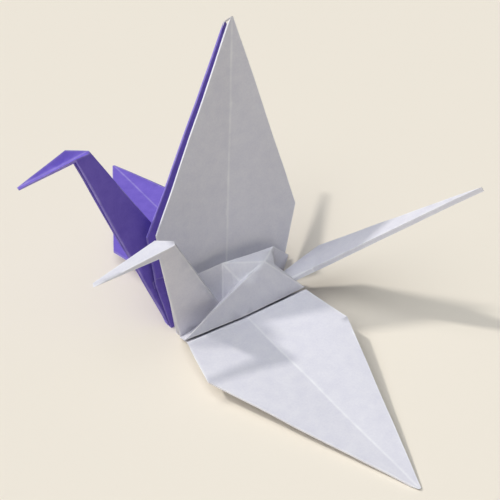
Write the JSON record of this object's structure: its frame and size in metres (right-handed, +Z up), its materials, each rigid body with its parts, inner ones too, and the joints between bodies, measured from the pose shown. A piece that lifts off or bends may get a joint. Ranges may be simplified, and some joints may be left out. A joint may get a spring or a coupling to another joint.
{
  "type": "joined pair of origami cranes",
  "caption": "Joined pair of folded paper cranes from one sheet, pale on one side and purple on the other, sharing the tip of their upright wings.",
  "frame": {"origin": "on the table under the middle of the box around both cranes", "axes": "+Z up from the table; both heads point towards -X and both tails towards +X; the pale crane's spread wing reaches out along -Y and the purple crane's along +Y"},
  "size_m": [0.045, 0.0748, 0.0368],
  "materials": {
    "paper": "matte"
  },
  "bodies": {
    "root": {"cranes": "paper"}
  },
  "joints": []
}
